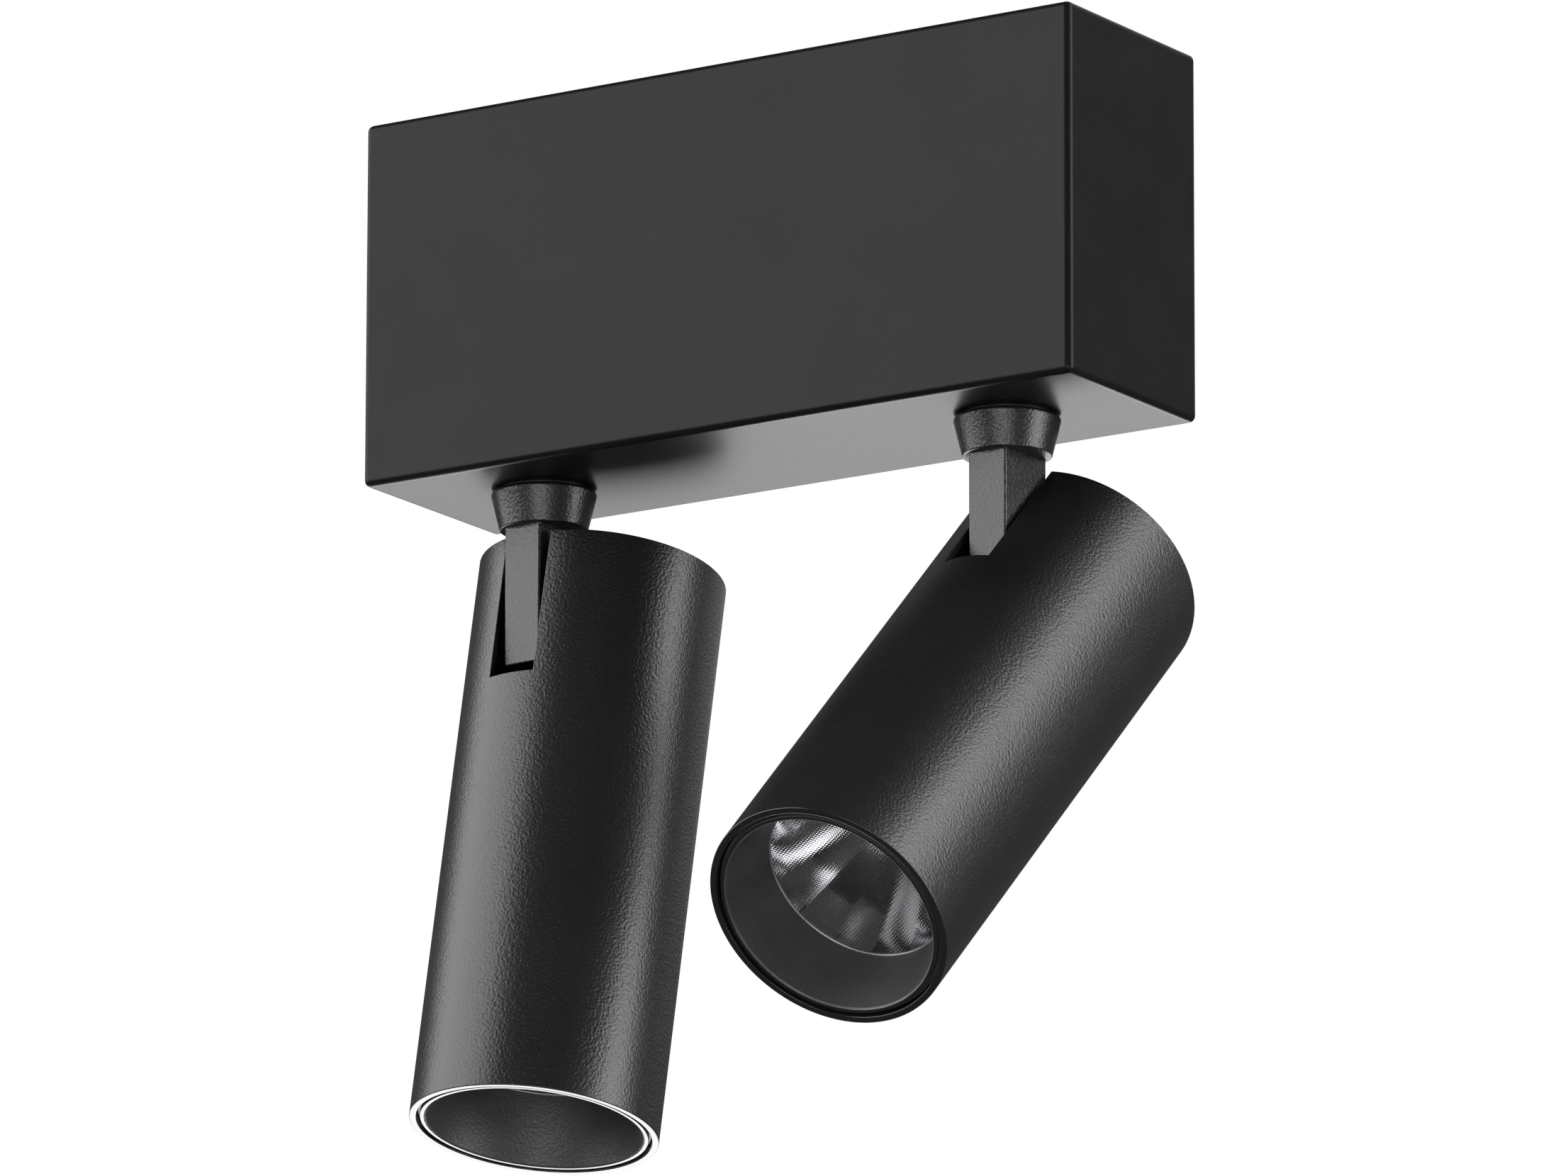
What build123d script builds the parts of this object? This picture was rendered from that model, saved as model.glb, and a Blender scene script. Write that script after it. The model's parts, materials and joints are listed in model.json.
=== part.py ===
from build123d import *
import os

# Twin-head track spotlight. Millimetres and degrees.
# Row frame: origin at the centre of the driver box's top face, +Z up, +X along the box,
# -Y towards the large front face that the heads tip their lenses to.

# ---------------------------------------------------------------- driver box
BOX_LENGTH = 120.0
BOX_DEPTH = 34.0
BOX_HEIGHT = 54.0
BOX_WALL = 1.6
BOX_FLOOR = 2.0
BOX_EDGE_RADIUS = 1.0
HEAD_SPACING = 78.8
SWIVEL_Y = -0.8          # swivel axes, just in front of the box's middle plane

COVER_THICKNESS = 2.5
COVER_GAP = 0.1
POST_WIDTH = 6.0
COVER_SCREW_RADIUS = 1.0
COVER_SCREW_LENGTH = 9.0

MAGNET_LENGTH = 20.0
MAGNET_WIDTH = 10.0
MAGNET_OFFSET = 34.0
MAGNET_SINK = 0.2
KEEPER_THICKNESS = 1.2
KEEPER_MARGIN = 3.0

CARRIER_LENGTH = 26.0
CARRIER_WIDTH = 12.0
CARRIER_DROP = 8.0
NOSE_LENGTH = 20.0
NOSE_WIDTH = 7.6
PIN_SPACING = 12.0
PIN_RADIUS = 0.95
PIN_CLEARANCE = 0.05
PIN_PROUD = 1.4
PIN_SHOULDER_RADIUS = 1.6
PIN_LEDGE = -5.0
SPRING_WIRE_RADIUS = 0.18
SPRING_RADIUS = 1.2
SPRING_TURNS = 4

# ---------------------------------------------------------------- driver electronics
BOARD_LENGTH = 100.0
BOARD_HEIGHT = 34.0
BOARD_THICKNESS = 1.6
BOARD_FACE_Y = 8.0
BOARD_CENTRE_Z = -27.0
BOARD_HOLE_X = 46.0
BOARD_HOLE_Z = 13.0

# ---------------------------------------------------------------- swivel
WASHER_THICKNESS = 0.25
WASHER_RADIUS = 6.6
COLLAR_TOP_RADIUS = 7.75
COLLAR_BOTTOM_RADIUS = 6.35
COLLAR_DROP = 5.95
RUNNING_GAP = 0.05
STEM_SEAT_DEPTH = 0.8
SHANK_RADIUS = 3.0
SHANK_ABOVE_NUT = 0.5
LEAD_BORE_RADIUS = 1.6
STOP_WASHER_THICKNESS = 0.8
STOP_WASHER_RADIUS = 5.5
STOP_LUG_REACH = 8.6
STOP_LUG_WIDTH = 1.2
STOP_POST_RADIUS = 0.8
STOP_POST_OFFSET = 7.5
SPRING_WASHER_HEIGHT = 0.8
NUT_ACROSS_FLATS = 10.0
NUT_HEIGHT = 2.5

# ---------------------------------------------------------------- stem and tilt pivot
STEM_RADIAL = 10.0
STEM_WIDTH = 6.4
STEM_BELOW_PIVOT = 5.5
STEM_EDGE_RADIUS = 0.3
PIVOT_DROP = 20.95
PIVOT_RADIUS = 1.5
PIVOT_HOLE_RADIUS = 1.55
TILT_WASHER_RADIUS = 3.5
CHEEK_THICKNESS = 2.5
TILT_HEAD_RADIUS = 2.5
TILT_HEAD_HEIGHT = 2.3
TILT_NUT_ACROSS_FLATS = 5.0
TILT_NUT_HEIGHT = 2.0

# ---------------------------------------------------------------- heads
TUBE_RADIUS = 17.9
TUBE_WALL = 1.0
TUBE_LENGTH = 85.4
TUBE_CHAMFER = 0.35
TUBE_OFFSET = 11.6       # tube axis behind the tilt pivot
BACK_RISE = 13.2         # tube's back end above the tilt pivot
SLOT_WIDTH = 7.8
SLOT_BELOW_PIVOT = 8.5
YOKE_BACK = 10.2
YOKE_POCKET_BACK = 8.0
CAP_THICKNESS = 2.5
CAP_RECESS = 0.3
CAP_SLOT_BACK = 5.6
CAP_SCREW_X = 1.5
SINK_TOP = -10.4
SINK_BASE_TOP = -37.6
SINK_FACE = -42.6
SINK_CORE_RADIUS = 6.5
SINK_FIN_COUNT = 12
SINK_FIN_THICKNESS = 1.2
SINK_FIN_CLEARANCE = 0.4
LEAD_RADIUS = 0.7
LEAD_OFFSET = 4.3
LED_BOARD_RADIUS = 9.5
LED_BOARD_THICKNESS = 1.2
EMITTER_RADIUS = 4.5
EMITTER_THICKNESS = 0.6
HOLDER_RADIUS = 14.0
HOLDER_FRONT = -45.6
LENS_FRONT = -61.5
LENS_THICKNESS = 1.5
LENS_RADIUS = 15.9
REFLECTOR_MOUTH_RADIUS = 13.5
REFLECTOR_THROAT_RADIUS = 5.0
REFLECTOR_WALL = 0.8
BAFFLE_RADIUS = 16.75
BAFFLE_MOUTH_RADIUS = 15.7
BAFFLE_RIM_RADIUS = 16.35
BAFFLE_RIM_DEPTH = 0.8
BAFFLE_THROAT_RADIUS = 13.5
BAFFLE_WALL = 1.0
BAFFLE_RECESS = 0.2
BAFFLE_FLANGE = 2.5
BAFFLE_LIP = 1.2

# ---------------------------------------------------------------- stored pose of each head
# Swivel 90 points the lens side to -Y; tilt 0 hangs the head straight down.
HEADS = {
    "left": {"x": -HEAD_SPACING / 2, "swivel": 85.5, "tilt": 10.2},
    "right": {"x": HEAD_SPACING / 2, "swivel": 87.0, "tilt": 45.0},
}

# ---------------------------------------------------------------- derived sizes
FRONT_Z = BACK_RISE - TUBE_LENGTH
TUBE_BORE = TUBE_RADIUS - TUBE_WALL
CAP_TOP = BACK_RISE - CAP_RECESS
CAP_BOTTOM = CAP_TOP - CAP_THICKNESS
STOP_WASHER_Z = BOX_FLOOR + RUNNING_GAP
SPRING_WASHER_Z = STOP_WASHER_Z + STOP_WASHER_THICKNESS
SWIVEL_NUT_Z = SPRING_WASHER_Z + SPRING_WASHER_HEIGHT
CHEEK_OUTSIDE = SLOT_WIDTH / 2 + CHEEK_THICKNESS
BORE_GAP = 0.1


# ---------------------------------------------------------------- small helpers
def block(x0, x1, y0, y1, z0, z1):
    """Box between two corners."""
    return Pos((x0 + x1) / 2, (y0 + y1) / 2, (z0 + z1) / 2) * Box(x1 - x0, y1 - y0, z1 - z0)


def rod(radius, z0, z1, x=0.0, y=0.0):
    """Upright cylinder from z0 to z1."""
    return Pos(x, y, (z0 + z1) / 2) * Cylinder(radius, z1 - z0)


def rod_y(radius, y0, y1, x=0.0, z=0.0):
    """Cylinder along Y from y0 to y1."""
    return Pos(x, (y0 + y1) / 2, z) * Rot(90, 0, 0) * Cylinder(radius, y1 - y0)


def cone(radius0, radius1, z0, z1, x=0.0, y=0.0):
    """Upright cone from radius0 at z0 to radius1 at z1."""
    return Pos(x, y, (z0 + z1) / 2) * Cone(radius0, radius1, z1 - z0)


def hexagon(across_flats, height):
    """Hexagonal prism standing on z = 0."""
    return extrude(RegularPolygon(across_flats / 2, 6, major_radius=False), height)


def turned(points, x=0.0):
    """Solid of revolution about the upright axis at x, from (radius, z) points."""
    outline = make_face(Polyline(*[(r, 0, z) for r, z in points], close=True))
    return Pos(x, 0, 0) * revolve(outline, Axis.Z)


# ---------------------------------------------------------------- driver box pieces
def housing_shell():
    """Open-topped metal box with a bore and a stop post for each head, and four cover posts."""
    shell = block(-BOX_LENGTH / 2, BOX_LENGTH / 2, -BOX_DEPTH / 2, BOX_DEPTH / 2, -BOX_HEIGHT, 0)
    shell = fillet(shell.edges(), BOX_EDGE_RADIUS)
    inside_x = BOX_LENGTH / 2 - BOX_WALL
    inside_y = BOX_DEPTH / 2 - BOX_WALL
    floor = -BOX_HEIGHT + BOX_FLOOR
    shell -= block(-inside_x, inside_x, -inside_y, inside_y, floor, 1)
    for x in (-1, 1):
        for y in (-1, 1):
            outer_x, outer_y = x * (inside_x + 0.5), y * (inside_y + 0.5)
            inner_x, inner_y = x * (inside_x - POST_WIDTH), y * (inside_y - POST_WIDTH)
            shell += block(
                min(outer_x, inner_x), max(outer_x, inner_x),
                min(outer_y, inner_y), max(outer_y, inner_y),
                floor - 0.5, -COVER_THICKNESS,
            )
    for x, y in cover_screw_points():
        shell -= rod(COVER_SCREW_RADIUS + BORE_GAP, -COVER_SCREW_LENGTH - 1, 0, x, y)
    for head in HEADS.values():
        x = head["x"]
        shell -= rod(SHANK_RADIUS + RUNNING_GAP, -BOX_HEIGHT - 1, floor + 1, x, SWIVEL_Y)
        shell += rod(STOP_POST_RADIUS, floor - 0.5, floor + 1.6, x, SWIVEL_Y - STOP_POST_OFFSET)
    return shell


def cover_screw_points():
    """Centres of the four cover posts."""
    x = BOX_LENGTH / 2 - BOX_WALL - POST_WIDTH / 2
    y = BOX_DEPTH / 2 - BOX_WALL - POST_WIDTH / 2
    return [(-x, -y), (-x, y), (x, -y), (x, y)]


def top_cover():
    """Plastic lid let into the box's rim, with windows for the magnets and the contact nose."""
    half_x = BOX_LENGTH / 2 - BOX_WALL - COVER_GAP
    half_y = BOX_DEPTH / 2 - BOX_WALL - COVER_GAP
    lid = block(-half_x, half_x, -half_y, half_y, -COVER_THICKNESS, 0)
    lid = chamfer(lid.edges().group_by(Axis.Z)[-1], 0.3)
    half_length = MAGNET_LENGTH / 2 + COVER_GAP
    half_width = MAGNET_WIDTH / 2 + COVER_GAP
    for x in (-MAGNET_OFFSET, MAGNET_OFFSET):
        lid -= block(x - half_length, x + half_length, -half_width, half_width, -5, 1)
    half_length = NOSE_LENGTH / 2 + COVER_GAP
    half_width = NOSE_WIDTH / 2 + COVER_GAP
    lid -= block(-half_length, half_length, -half_width, half_width, -5, 1)
    for x, y in cover_screw_points():
        lid -= rod(1.35, -5, 1, x, y)
        lid -= cone(1.35, 2.65, -1.4, 0.0, x, y)
    return lid


def cover_screws():
    """Four countersunk screws with hexagonal sockets."""
    screws = []
    for x, y in cover_screw_points():
        screw = rod(COVER_SCREW_RADIUS, -COVER_SCREW_LENGTH, -1.0, x, y)
        screw += cone(1.0, 2.3, -1.5, -0.15, x, y)
        screw -= Pos(x, y, -0.95) * hexagon(1.5, 2)
        screws.append(screw)
    return Compound(children=screws)


def magnets():
    """Two bar magnets that hold the lamp up in its track."""
    bars = []
    for x in (-MAGNET_OFFSET, MAGNET_OFFSET):
        bar = block(
            x - MAGNET_LENGTH / 2, x + MAGNET_LENGTH / 2,
            -MAGNET_WIDTH / 2, MAGNET_WIDTH / 2, -COVER_THICKNESS, -MAGNET_SINK,
        )
        bars.append(chamfer(bar.edges(), 0.3))
    return Compound(children=bars)


def magnet_keepers():
    """Steel plates glued under the cover behind the magnets."""
    half_x = MAGNET_LENGTH / 2 + KEEPER_MARGIN
    half_y = MAGNET_WIDTH / 2 + KEEPER_MARGIN
    low = -COVER_THICKNESS - KEEPER_THICKNESS
    plates = [
        block(x - half_x, x + half_x, -half_y, half_y, low, -COVER_THICKNESS)
        for x in (-MAGNET_OFFSET, MAGNET_OFFSET)
    ]
    return Compound(children=plates)


def contact_carrier():
    """Plastic block whose nose fills the cover's window and guides the two contact pins."""
    low = -COVER_THICKNESS - CARRIER_DROP
    carrier = block(
        -CARRIER_LENGTH / 2, CARRIER_LENGTH / 2,
        -CARRIER_WIDTH / 2, CARRIER_WIDTH / 2, low, -COVER_THICKNESS,
    )
    carrier += block(
        -NOSE_LENGTH / 2, NOSE_LENGTH / 2, -NOSE_WIDTH / 2, NOSE_WIDTH / 2, -COVER_THICKNESS - 0.5, 0,
    )
    for x in (-PIN_SPACING / 2, PIN_SPACING / 2):
        carrier -= rod(PIN_RADIUS + PIN_CLEARANCE, -6, 1, x)
        carrier -= rod(PIN_SHOULDER_RADIUS + 0.1, low + 0.8, PIN_LEDGE, x)
    return carrier


def contact_pins():
    """Two spring-loaded contact pins with shoulders."""
    pins = []
    shoulder_top = PIN_LEDGE - RUNNING_GAP
    for x in (-PIN_SPACING / 2, PIN_SPACING / 2):
        tip = rod(PIN_RADIUS, shoulder_top, PIN_PROUD, x)
        tip = fillet(tip.edges().group_by(Axis.Z)[-1], 0.6)
        pins.append(tip + rod(PIN_SHOULDER_RADIUS, shoulder_top - 1.0, shoulder_top, x))
    return Compound(children=pins)


def contact_springs():
    """Compression spring under each contact pin."""
    top = PIN_LEDGE - RUNNING_GAP - 1.0 - 0.05 - SPRING_WIRE_RADIUS
    bottom = -COVER_THICKNESS - CARRIER_DROP + 0.8 + 0.05 + SPRING_WIRE_RADIUS
    springs = []
    for x in (-PIN_SPACING / 2, PIN_SPACING / 2):
        path = Helix(pitch=(top - bottom) / SPRING_TURNS, height=top - bottom, radius=SPRING_RADIUS)
        wire = Plane(origin=path @ 0, z_dir=path % 0) * Circle(SPRING_WIRE_RADIUS)
        springs.append(Pos(x, 0, bottom) * sweep(wire, path=path))
    return Compound(children=springs)


# ---------------------------------------------------------------- driver electronics
def board_holes():
    """Centres of the board's four fixing holes, as (x, z)."""
    return [
        (x, BOARD_CENTRE_Z + z)
        for x in (-BOARD_HOLE_X, BOARD_HOLE_X)
        for z in (-BOARD_HOLE_Z, BOARD_HOLE_Z)
    ]


def driver_board():
    """Circuit board standing along the box behind the swivel nuts."""
    board = block(
        -BOARD_LENGTH / 2, BOARD_LENGTH / 2, BOARD_FACE_Y, BOARD_FACE_Y + BOARD_THICKNESS,
        BOARD_CENTRE_Z - BOARD_HEIGHT / 2, BOARD_CENTRE_Z + BOARD_HEIGHT / 2,
    )
    for x, z in board_holes():
        board -= rod_y(1.1, BOARD_FACE_Y - 1, BOARD_FACE_Y + 3, x, z)
    return board


def board_standoffs():
    """Brass pillars between the board and the box's rear wall."""
    back = BOX_DEPTH / 2 - BOX_WALL
    front = BOARD_FACE_Y + BOARD_THICKNESS
    pillars = []
    for x, z in board_holes():
        pillars.append(rod_y(2.2, front, back, x, z) - rod_y(0.95, front - 1, back - 0.6, x, z))
    return Compound(children=pillars)


def board_screws():
    """Pan-head screws that hold the board to its pillars."""
    screws = []
    for x, z in board_holes():
        screw = rod_y(0.85, BOARD_FACE_Y - 0.5, BOARD_FACE_Y + 6, x, z)
        screws.append(screw + rod_y(1.8, BOARD_FACE_Y - 1.3, BOARD_FACE_Y, x, z))
    return Compound(children=screws)


def inductor_core():
    """Ferrite drum core on the board."""
    drum = rod_y(4.0, BOARD_FACE_Y - 12, BOARD_FACE_Y, 0, BOARD_CENTRE_Z)
    drum += rod_y(8.0, BOARD_FACE_Y - 1.5, BOARD_FACE_Y, 0, BOARD_CENTRE_Z)
    drum += rod_y(8.0, BOARD_FACE_Y - 12, BOARD_FACE_Y - 10.5, 0, BOARD_CENTRE_Z)
    return drum


def inductor_winding():
    """Copper winding between the core's flanges."""
    near, far = BOARD_FACE_Y - 10.45, BOARD_FACE_Y - 1.55
    winding = rod_y(7.2, near, far, 0, BOARD_CENTRE_Z)
    return winding - rod_y(4.05, near - 1, far + 1, 0, BOARD_CENTRE_Z)


def capacitors():
    """Three round electrolytic capacitors on the board."""
    cans = []
    for x, z, radius, length in ((-22, -20, 5.0, 13), (-24, -35, 4.0, 11), (23, -26, 5.0, 13)):
        can = rod_y(radius, BOARD_FACE_Y - length, BOARD_FACE_Y, x, z)
        cans.append(fillet(can.edges().group_by(Axis.Y)[0], 0.6))
    return Compound(children=cans)


def driver_chips():
    """Flat packages: the controller, the switch and the dimming receiver."""
    packages = []
    for x, z, width, height in ((12, -38, 5.0, 4.0), (13, -16, 6.5, 6.1), (-10, -39, 5.0, 4.0)):
        packages.append(block(
            x - width / 2, x + width / 2, BOARD_FACE_Y - 1.6, BOARD_FACE_Y,
            z - height / 2, z + height / 2,
        ))
    return Compound(children=packages)


def output_connectors():
    """Lead connector beside each swivel."""
    shells = []
    for x in (-37, 37):
        shell = block(x - 4, x + 4, BOARD_FACE_Y - 6, BOARD_FACE_Y, -40, -34)
        shells.append(shell - block(x - 3.2, x + 3.2, BOARD_FACE_Y - 5.2, BOARD_FACE_Y - 0.8, -41, -35))
    return Compound(children=shells)


def insulating_sheet():
    """Plastic sheet between the live side of the board and the box's front wall."""
    face = -BOX_DEPTH / 2 + BOX_WALL + RUNNING_GAP
    return block(-51, 51, face, face + 0.3, -48, -5)


# ---------------------------------------------------------------- swivel pieces
# Swivel frame: origin on the swivel axis at the box's underside, +X away from the lens side.
def friction_washer():
    """Plain washer between the box and the collar."""
    return rod(WASHER_RADIUS, -WASHER_THICKNESS, 0) - rod(SHANK_RADIUS + BORE_GAP, -2, 1)


def swivel_collar():
    """Turned cone under the box, with a seat for the stem in its lower face."""
    top = -WASHER_THICKNESS - RUNNING_GAP
    collar = cone(COLLAR_BOTTOM_RADIUS, COLLAR_TOP_RADIUS, -COLLAR_DROP, top)
    collar = fillet(collar.edges().group_by(Axis.Z)[-1], 0.5)
    collar = fillet(collar.edges().group_by(Axis.Z)[0], 0.25)
    collar -= rod(SHANK_RADIUS + RUNNING_GAP, -COLLAR_DROP - 1, 1)
    seat = -COLLAR_DROP + STEM_SEAT_DEPTH
    half_x = STEM_RADIAL / 2 + RUNNING_GAP
    half_y = STEM_WIDTH / 2 + RUNNING_GAP
    return collar - block(-half_x, half_x, -half_y, half_y, -COLLAR_DROP - 1, seat)


def stem():
    """Flat bar with a hollow shank on top, a cross hole for the tilt screw and a lead window."""
    foot = -PIVOT_DROP - STEM_BELOW_PIVOT
    shoulder = -COLLAR_DROP + STEM_SEAT_DEPTH
    bar = block(-STEM_RADIAL / 2, STEM_RADIAL / 2, -STEM_WIDTH / 2, STEM_WIDTH / 2, foot, shoulder)
    sides = bar.edges().filter_by(Axis.Z)
    bar = fillet(sides + bar.edges().group_by(Axis.Z)[0], STEM_EDGE_RADIUS)
    bar += rod(SHANK_RADIUS, shoulder - 0.5, SWIVEL_NUT_Z + NUT_HEIGHT + SHANK_ABOVE_NUT)
    lead_end = -PIVOT_DROP + 5
    bar -= rod(LEAD_BORE_RADIUS, lead_end, 20)
    bar -= block(0, 10, -LEAD_BORE_RADIUS, LEAD_BORE_RADIUS, lead_end, lead_end + 4)
    return bar - rod_y(PIVOT_HOLE_RADIUS, -10, 10, 0, -PIVOT_DROP)


def stop_washer():
    """Washer whose lug meets the box's stop post at each end of the swivel."""
    washer = rod(STOP_WASHER_RADIUS, STOP_WASHER_Z, SPRING_WASHER_Z)
    half = STOP_LUG_WIDTH / 2
    washer += block(0, STOP_LUG_REACH, -half, half, STOP_WASHER_Z, SPRING_WASHER_Z)
    return washer - rod(SHANK_RADIUS + BORE_GAP, 0, 10)


def spring_washer():
    """Coned washer that keeps the swivel stiff."""
    low, high = SPRING_WASHER_Z, SWIVEL_NUT_Z
    inner, outer, sheet = SHANK_RADIUS + BORE_GAP, 5.2, 0.4
    return turned([(outer, low), (outer, low + sheet), (inner, high), (inner, high - sheet)])


def swivel_nut():
    """Thin nut on the stem's shank, inside the box."""
    nut = Pos(0, 0, SWIVEL_NUT_Z) * hexagon(NUT_ACROSS_FLATS, NUT_HEIGHT)
    return nut - rod(SHANK_RADIUS + RUNNING_GAP, 0, 20)


# ---------------------------------------------------------------- tilt pivot pieces
# Head frame: origin on the tilt pivot, +Z to the head's back end, lens at -Z, slot side at -X.
def tilt_screw():
    """Socket screw along Y that the head tilts on."""
    screw = rod_y(PIVOT_RADIUS, -CHEEK_OUTSIDE - TILT_NUT_HEIGHT - 0.4, CHEEK_OUTSIDE + 0.5)
    screw += rod_y(TILT_HEAD_RADIUS, CHEEK_OUTSIDE, CHEEK_OUTSIDE + TILT_HEAD_HEIGHT)
    socket_floor = CHEEK_OUTSIDE + TILT_HEAD_HEIGHT - 1.3
    return screw - Pos(0, socket_floor, 0) * Rot(-90, 0, 0) * hexagon(2.5, 3)


def tilt_nut():
    """Lock nut that sets the tilt friction."""
    start = -CHEEK_OUTSIDE
    nut = Pos(0, start, 0) * Rot(90, 0, 0) * hexagon(TILT_NUT_ACROSS_FLATS, TILT_NUT_HEIGHT)
    return nut - rod_y(PIVOT_HOLE_RADIUS, -20, 0)


def tilt_washers():
    """Friction washer on each side of the stem."""
    near = STEM_WIDTH / 2 + RUNNING_GAP
    far = SLOT_WIDTH / 2
    washers = []
    for y0, y1 in ((near, far), (-far, -near)):
        washers.append(rod_y(TILT_WASHER_RADIUS, y0, y1) - rod_y(PIVOT_HOLE_RADIUS, y0 - 1, y1 + 1))
    return Compound(children=washers)


def pivot_yoke():
    """Metal pocket inside the tube that the stem swings in."""
    yoke = block(-10, YOKE_BACK, -CHEEK_OUTSIDE, CHEEK_OUTSIDE, SINK_TOP, CAP_BOTTOM)
    yoke &= rod(TUBE_BORE - RUNNING_GAP, FRONT_Z, BACK_RISE, TUBE_OFFSET)
    half = SLOT_WIDTH / 2
    yoke -= block(-20, YOKE_POCKET_BACK, -half, half, -SLOT_BELOW_PIVOT, BACK_RISE)
    yoke -= rod_y(PIVOT_HOLE_RADIUS, -10, 10)
    for y in cap_screw_offsets():
        yoke -= rod(0.9, CAP_BOTTOM - 6, BACK_RISE, CAP_SCREW_X, y)
    return yoke


def cap_screw_offsets():
    """Y positions of the rear cap's two screws, in the middle of the yoke's cheeks."""
    middle = (SLOT_WIDTH / 2 + CHEEK_OUTSIDE) / 2
    return (-middle, middle)


# ---------------------------------------------------------------- head pieces
def head_tube():
    """Metal tube, slotted at its back end for the stem."""
    tube = rod(TUBE_RADIUS, FRONT_Z, BACK_RISE, TUBE_OFFSET)
    tube = chamfer(tube.edges(), TUBE_CHAMFER)
    tube -= rod(TUBE_BORE, FRONT_Z - 1, BACK_RISE + 1, TUBE_OFFSET)
    near = TUBE_OFFSET - TUBE_RADIUS - 1
    half = SLOT_WIDTH / 2
    return tube - block(near, near + 5, -half, half, -SLOT_BELOW_PIVOT, BACK_RISE + 1)


def rear_cap():
    """Disc in the back of the tube, open along the slot."""
    disc = rod(TUBE_BORE - RUNNING_GAP, CAP_BOTTOM, CAP_TOP, TUBE_OFFSET)
    disc = chamfer(disc.edges().group_by(Axis.Z)[-1], 0.3)
    half = SLOT_WIDTH / 2
    disc -= block(-20, CAP_SLOT_BACK, -half, half, CAP_BOTTOM - 1, CAP_TOP + 1)
    for y in cap_screw_offsets():
        disc -= rod(1.0, CAP_BOTTOM - 1, CAP_TOP + 1, CAP_SCREW_X, y)
        disc -= cone(1.0, 1.95, CAP_TOP - 1.0, CAP_TOP, CAP_SCREW_X, y)
    return disc


def rear_cap_screws():
    """Two small countersunk screws through the rear cap into the yoke."""
    screws = []
    for y in cap_screw_offsets():
        screw = rod(0.8, CAP_BOTTOM - 5, CAP_TOP - 0.8, CAP_SCREW_X, y)
        screw += cone(0.8, 1.7, CAP_TOP - 1.05, CAP_TOP - 0.1, CAP_SCREW_X, y)
        screws.append(screw - Pos(CAP_SCREW_X, y, CAP_TOP - 0.7) * hexagon(1.3, 2))
    return Compound(children=screws)


def heat_sink():
    """Finned aluminium block that fills the middle of the tube."""
    radius = TUBE_BORE - RUNNING_GAP
    section = Circle(SINK_CORE_RADIUS)
    fin_reach = radius - SINK_FIN_CLEARANCE
    for index in range(SINK_FIN_COUNT):
        turn = Rot(0, 0, (index + 0.5) * 360 / SINK_FIN_COUNT)
        section += turn * Pos(fin_reach / 2, 0) * Rectangle(fin_reach, SINK_FIN_THICKNESS)
    fin_top = SINK_TOP - 2
    sink = Pos(0, 0, SINK_BASE_TOP) * extrude(section, fin_top - SINK_BASE_TOP)
    sink += rod(radius, SINK_FACE, SINK_BASE_TOP)
    sink += rod(SINK_CORE_RADIUS, fin_top, SINK_TOP)
    for y in (-LEAD_OFFSET, LEAD_OFFSET):
        sink -= rod(LEAD_RADIUS + BORE_GAP, SINK_FACE - 1, SINK_TOP + 1, 0, y)
    return Pos(TUBE_OFFSET, 0, 0) * sink


def led_leads():
    """Two short leads through the heat sink."""
    leads = [
        rod(LEAD_RADIUS, SINK_FACE + 0.1, SINK_TOP, TUBE_OFFSET, y)
        for y in (-LEAD_OFFSET, LEAD_OFFSET)
    ]
    return Compound(children=leads)


def led_board():
    """Round metal-core board with two screw notches."""
    low = SINK_FACE - LED_BOARD_THICKNESS
    board = rod(LED_BOARD_RADIUS, low, SINK_FACE)
    for x in (-LED_BOARD_RADIUS, LED_BOARD_RADIUS):
        board -= rod(1.6, low - 1, SINK_FACE + 1, x, 0)
    return Pos(TUBE_OFFSET, 0, 0) * board


def led_emitter():
    """Round phosphor area in the middle of the board."""
    top = SINK_FACE - LED_BOARD_THICKNESS
    return rod(EMITTER_RADIUS, top - EMITTER_THICKNESS, top, TUBE_OFFSET)


def led_holder():
    """Plastic ring that clamps the board and centres the reflector."""
    holder = rod(HOLDER_RADIUS, HOLDER_FRONT, SINK_FACE)
    holder = chamfer(holder.edges().group_by(Axis.Z)[0], 0.6)
    holder -= rod(LED_BOARD_RADIUS + 0.1, SINK_FACE - LED_BOARD_THICKNESS - 0.05, SINK_FACE + 1)
    holder -= rod(REFLECTOR_THROAT_RADIUS, HOLDER_FRONT - 1, SINK_FACE + 1)
    return Pos(TUBE_OFFSET, 0, 0) * holder


def reflector():
    """Bright cup that widens from the emitter to the lens."""
    throat, mouth = HOLDER_FRONT, LENS_FRONT + LENS_THICKNESS
    wall = REFLECTOR_WALL
    inner = ThreePointArc(
        (REFLECTOR_THROAT_RADIUS, 0, throat),
        (10.4, 0, (throat + mouth) / 2),
        (REFLECTOR_MOUTH_RADIUS, 0, mouth),
    )
    outer = ThreePointArc(
        (REFLECTOR_MOUTH_RADIUS + wall, 0, mouth),
        (10.4 + wall, 0, (throat + mouth) / 2 + 0.4),
        (REFLECTOR_THROAT_RADIUS + wall + 0.6, 0, throat),
    )
    rim = Line(inner @ 1, outer @ 0)
    base = Line(outer @ 1, inner @ 0)
    return Pos(TUBE_OFFSET, 0, 0) * revolve(make_face([inner, rim, outer, base]), Axis.Z)


def lens():
    """Clear disc in front of the reflector."""
    return rod(LENS_RADIUS, LENS_FRONT, LENS_FRONT + LENS_THICKNESS, TUBE_OFFSET)


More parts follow.
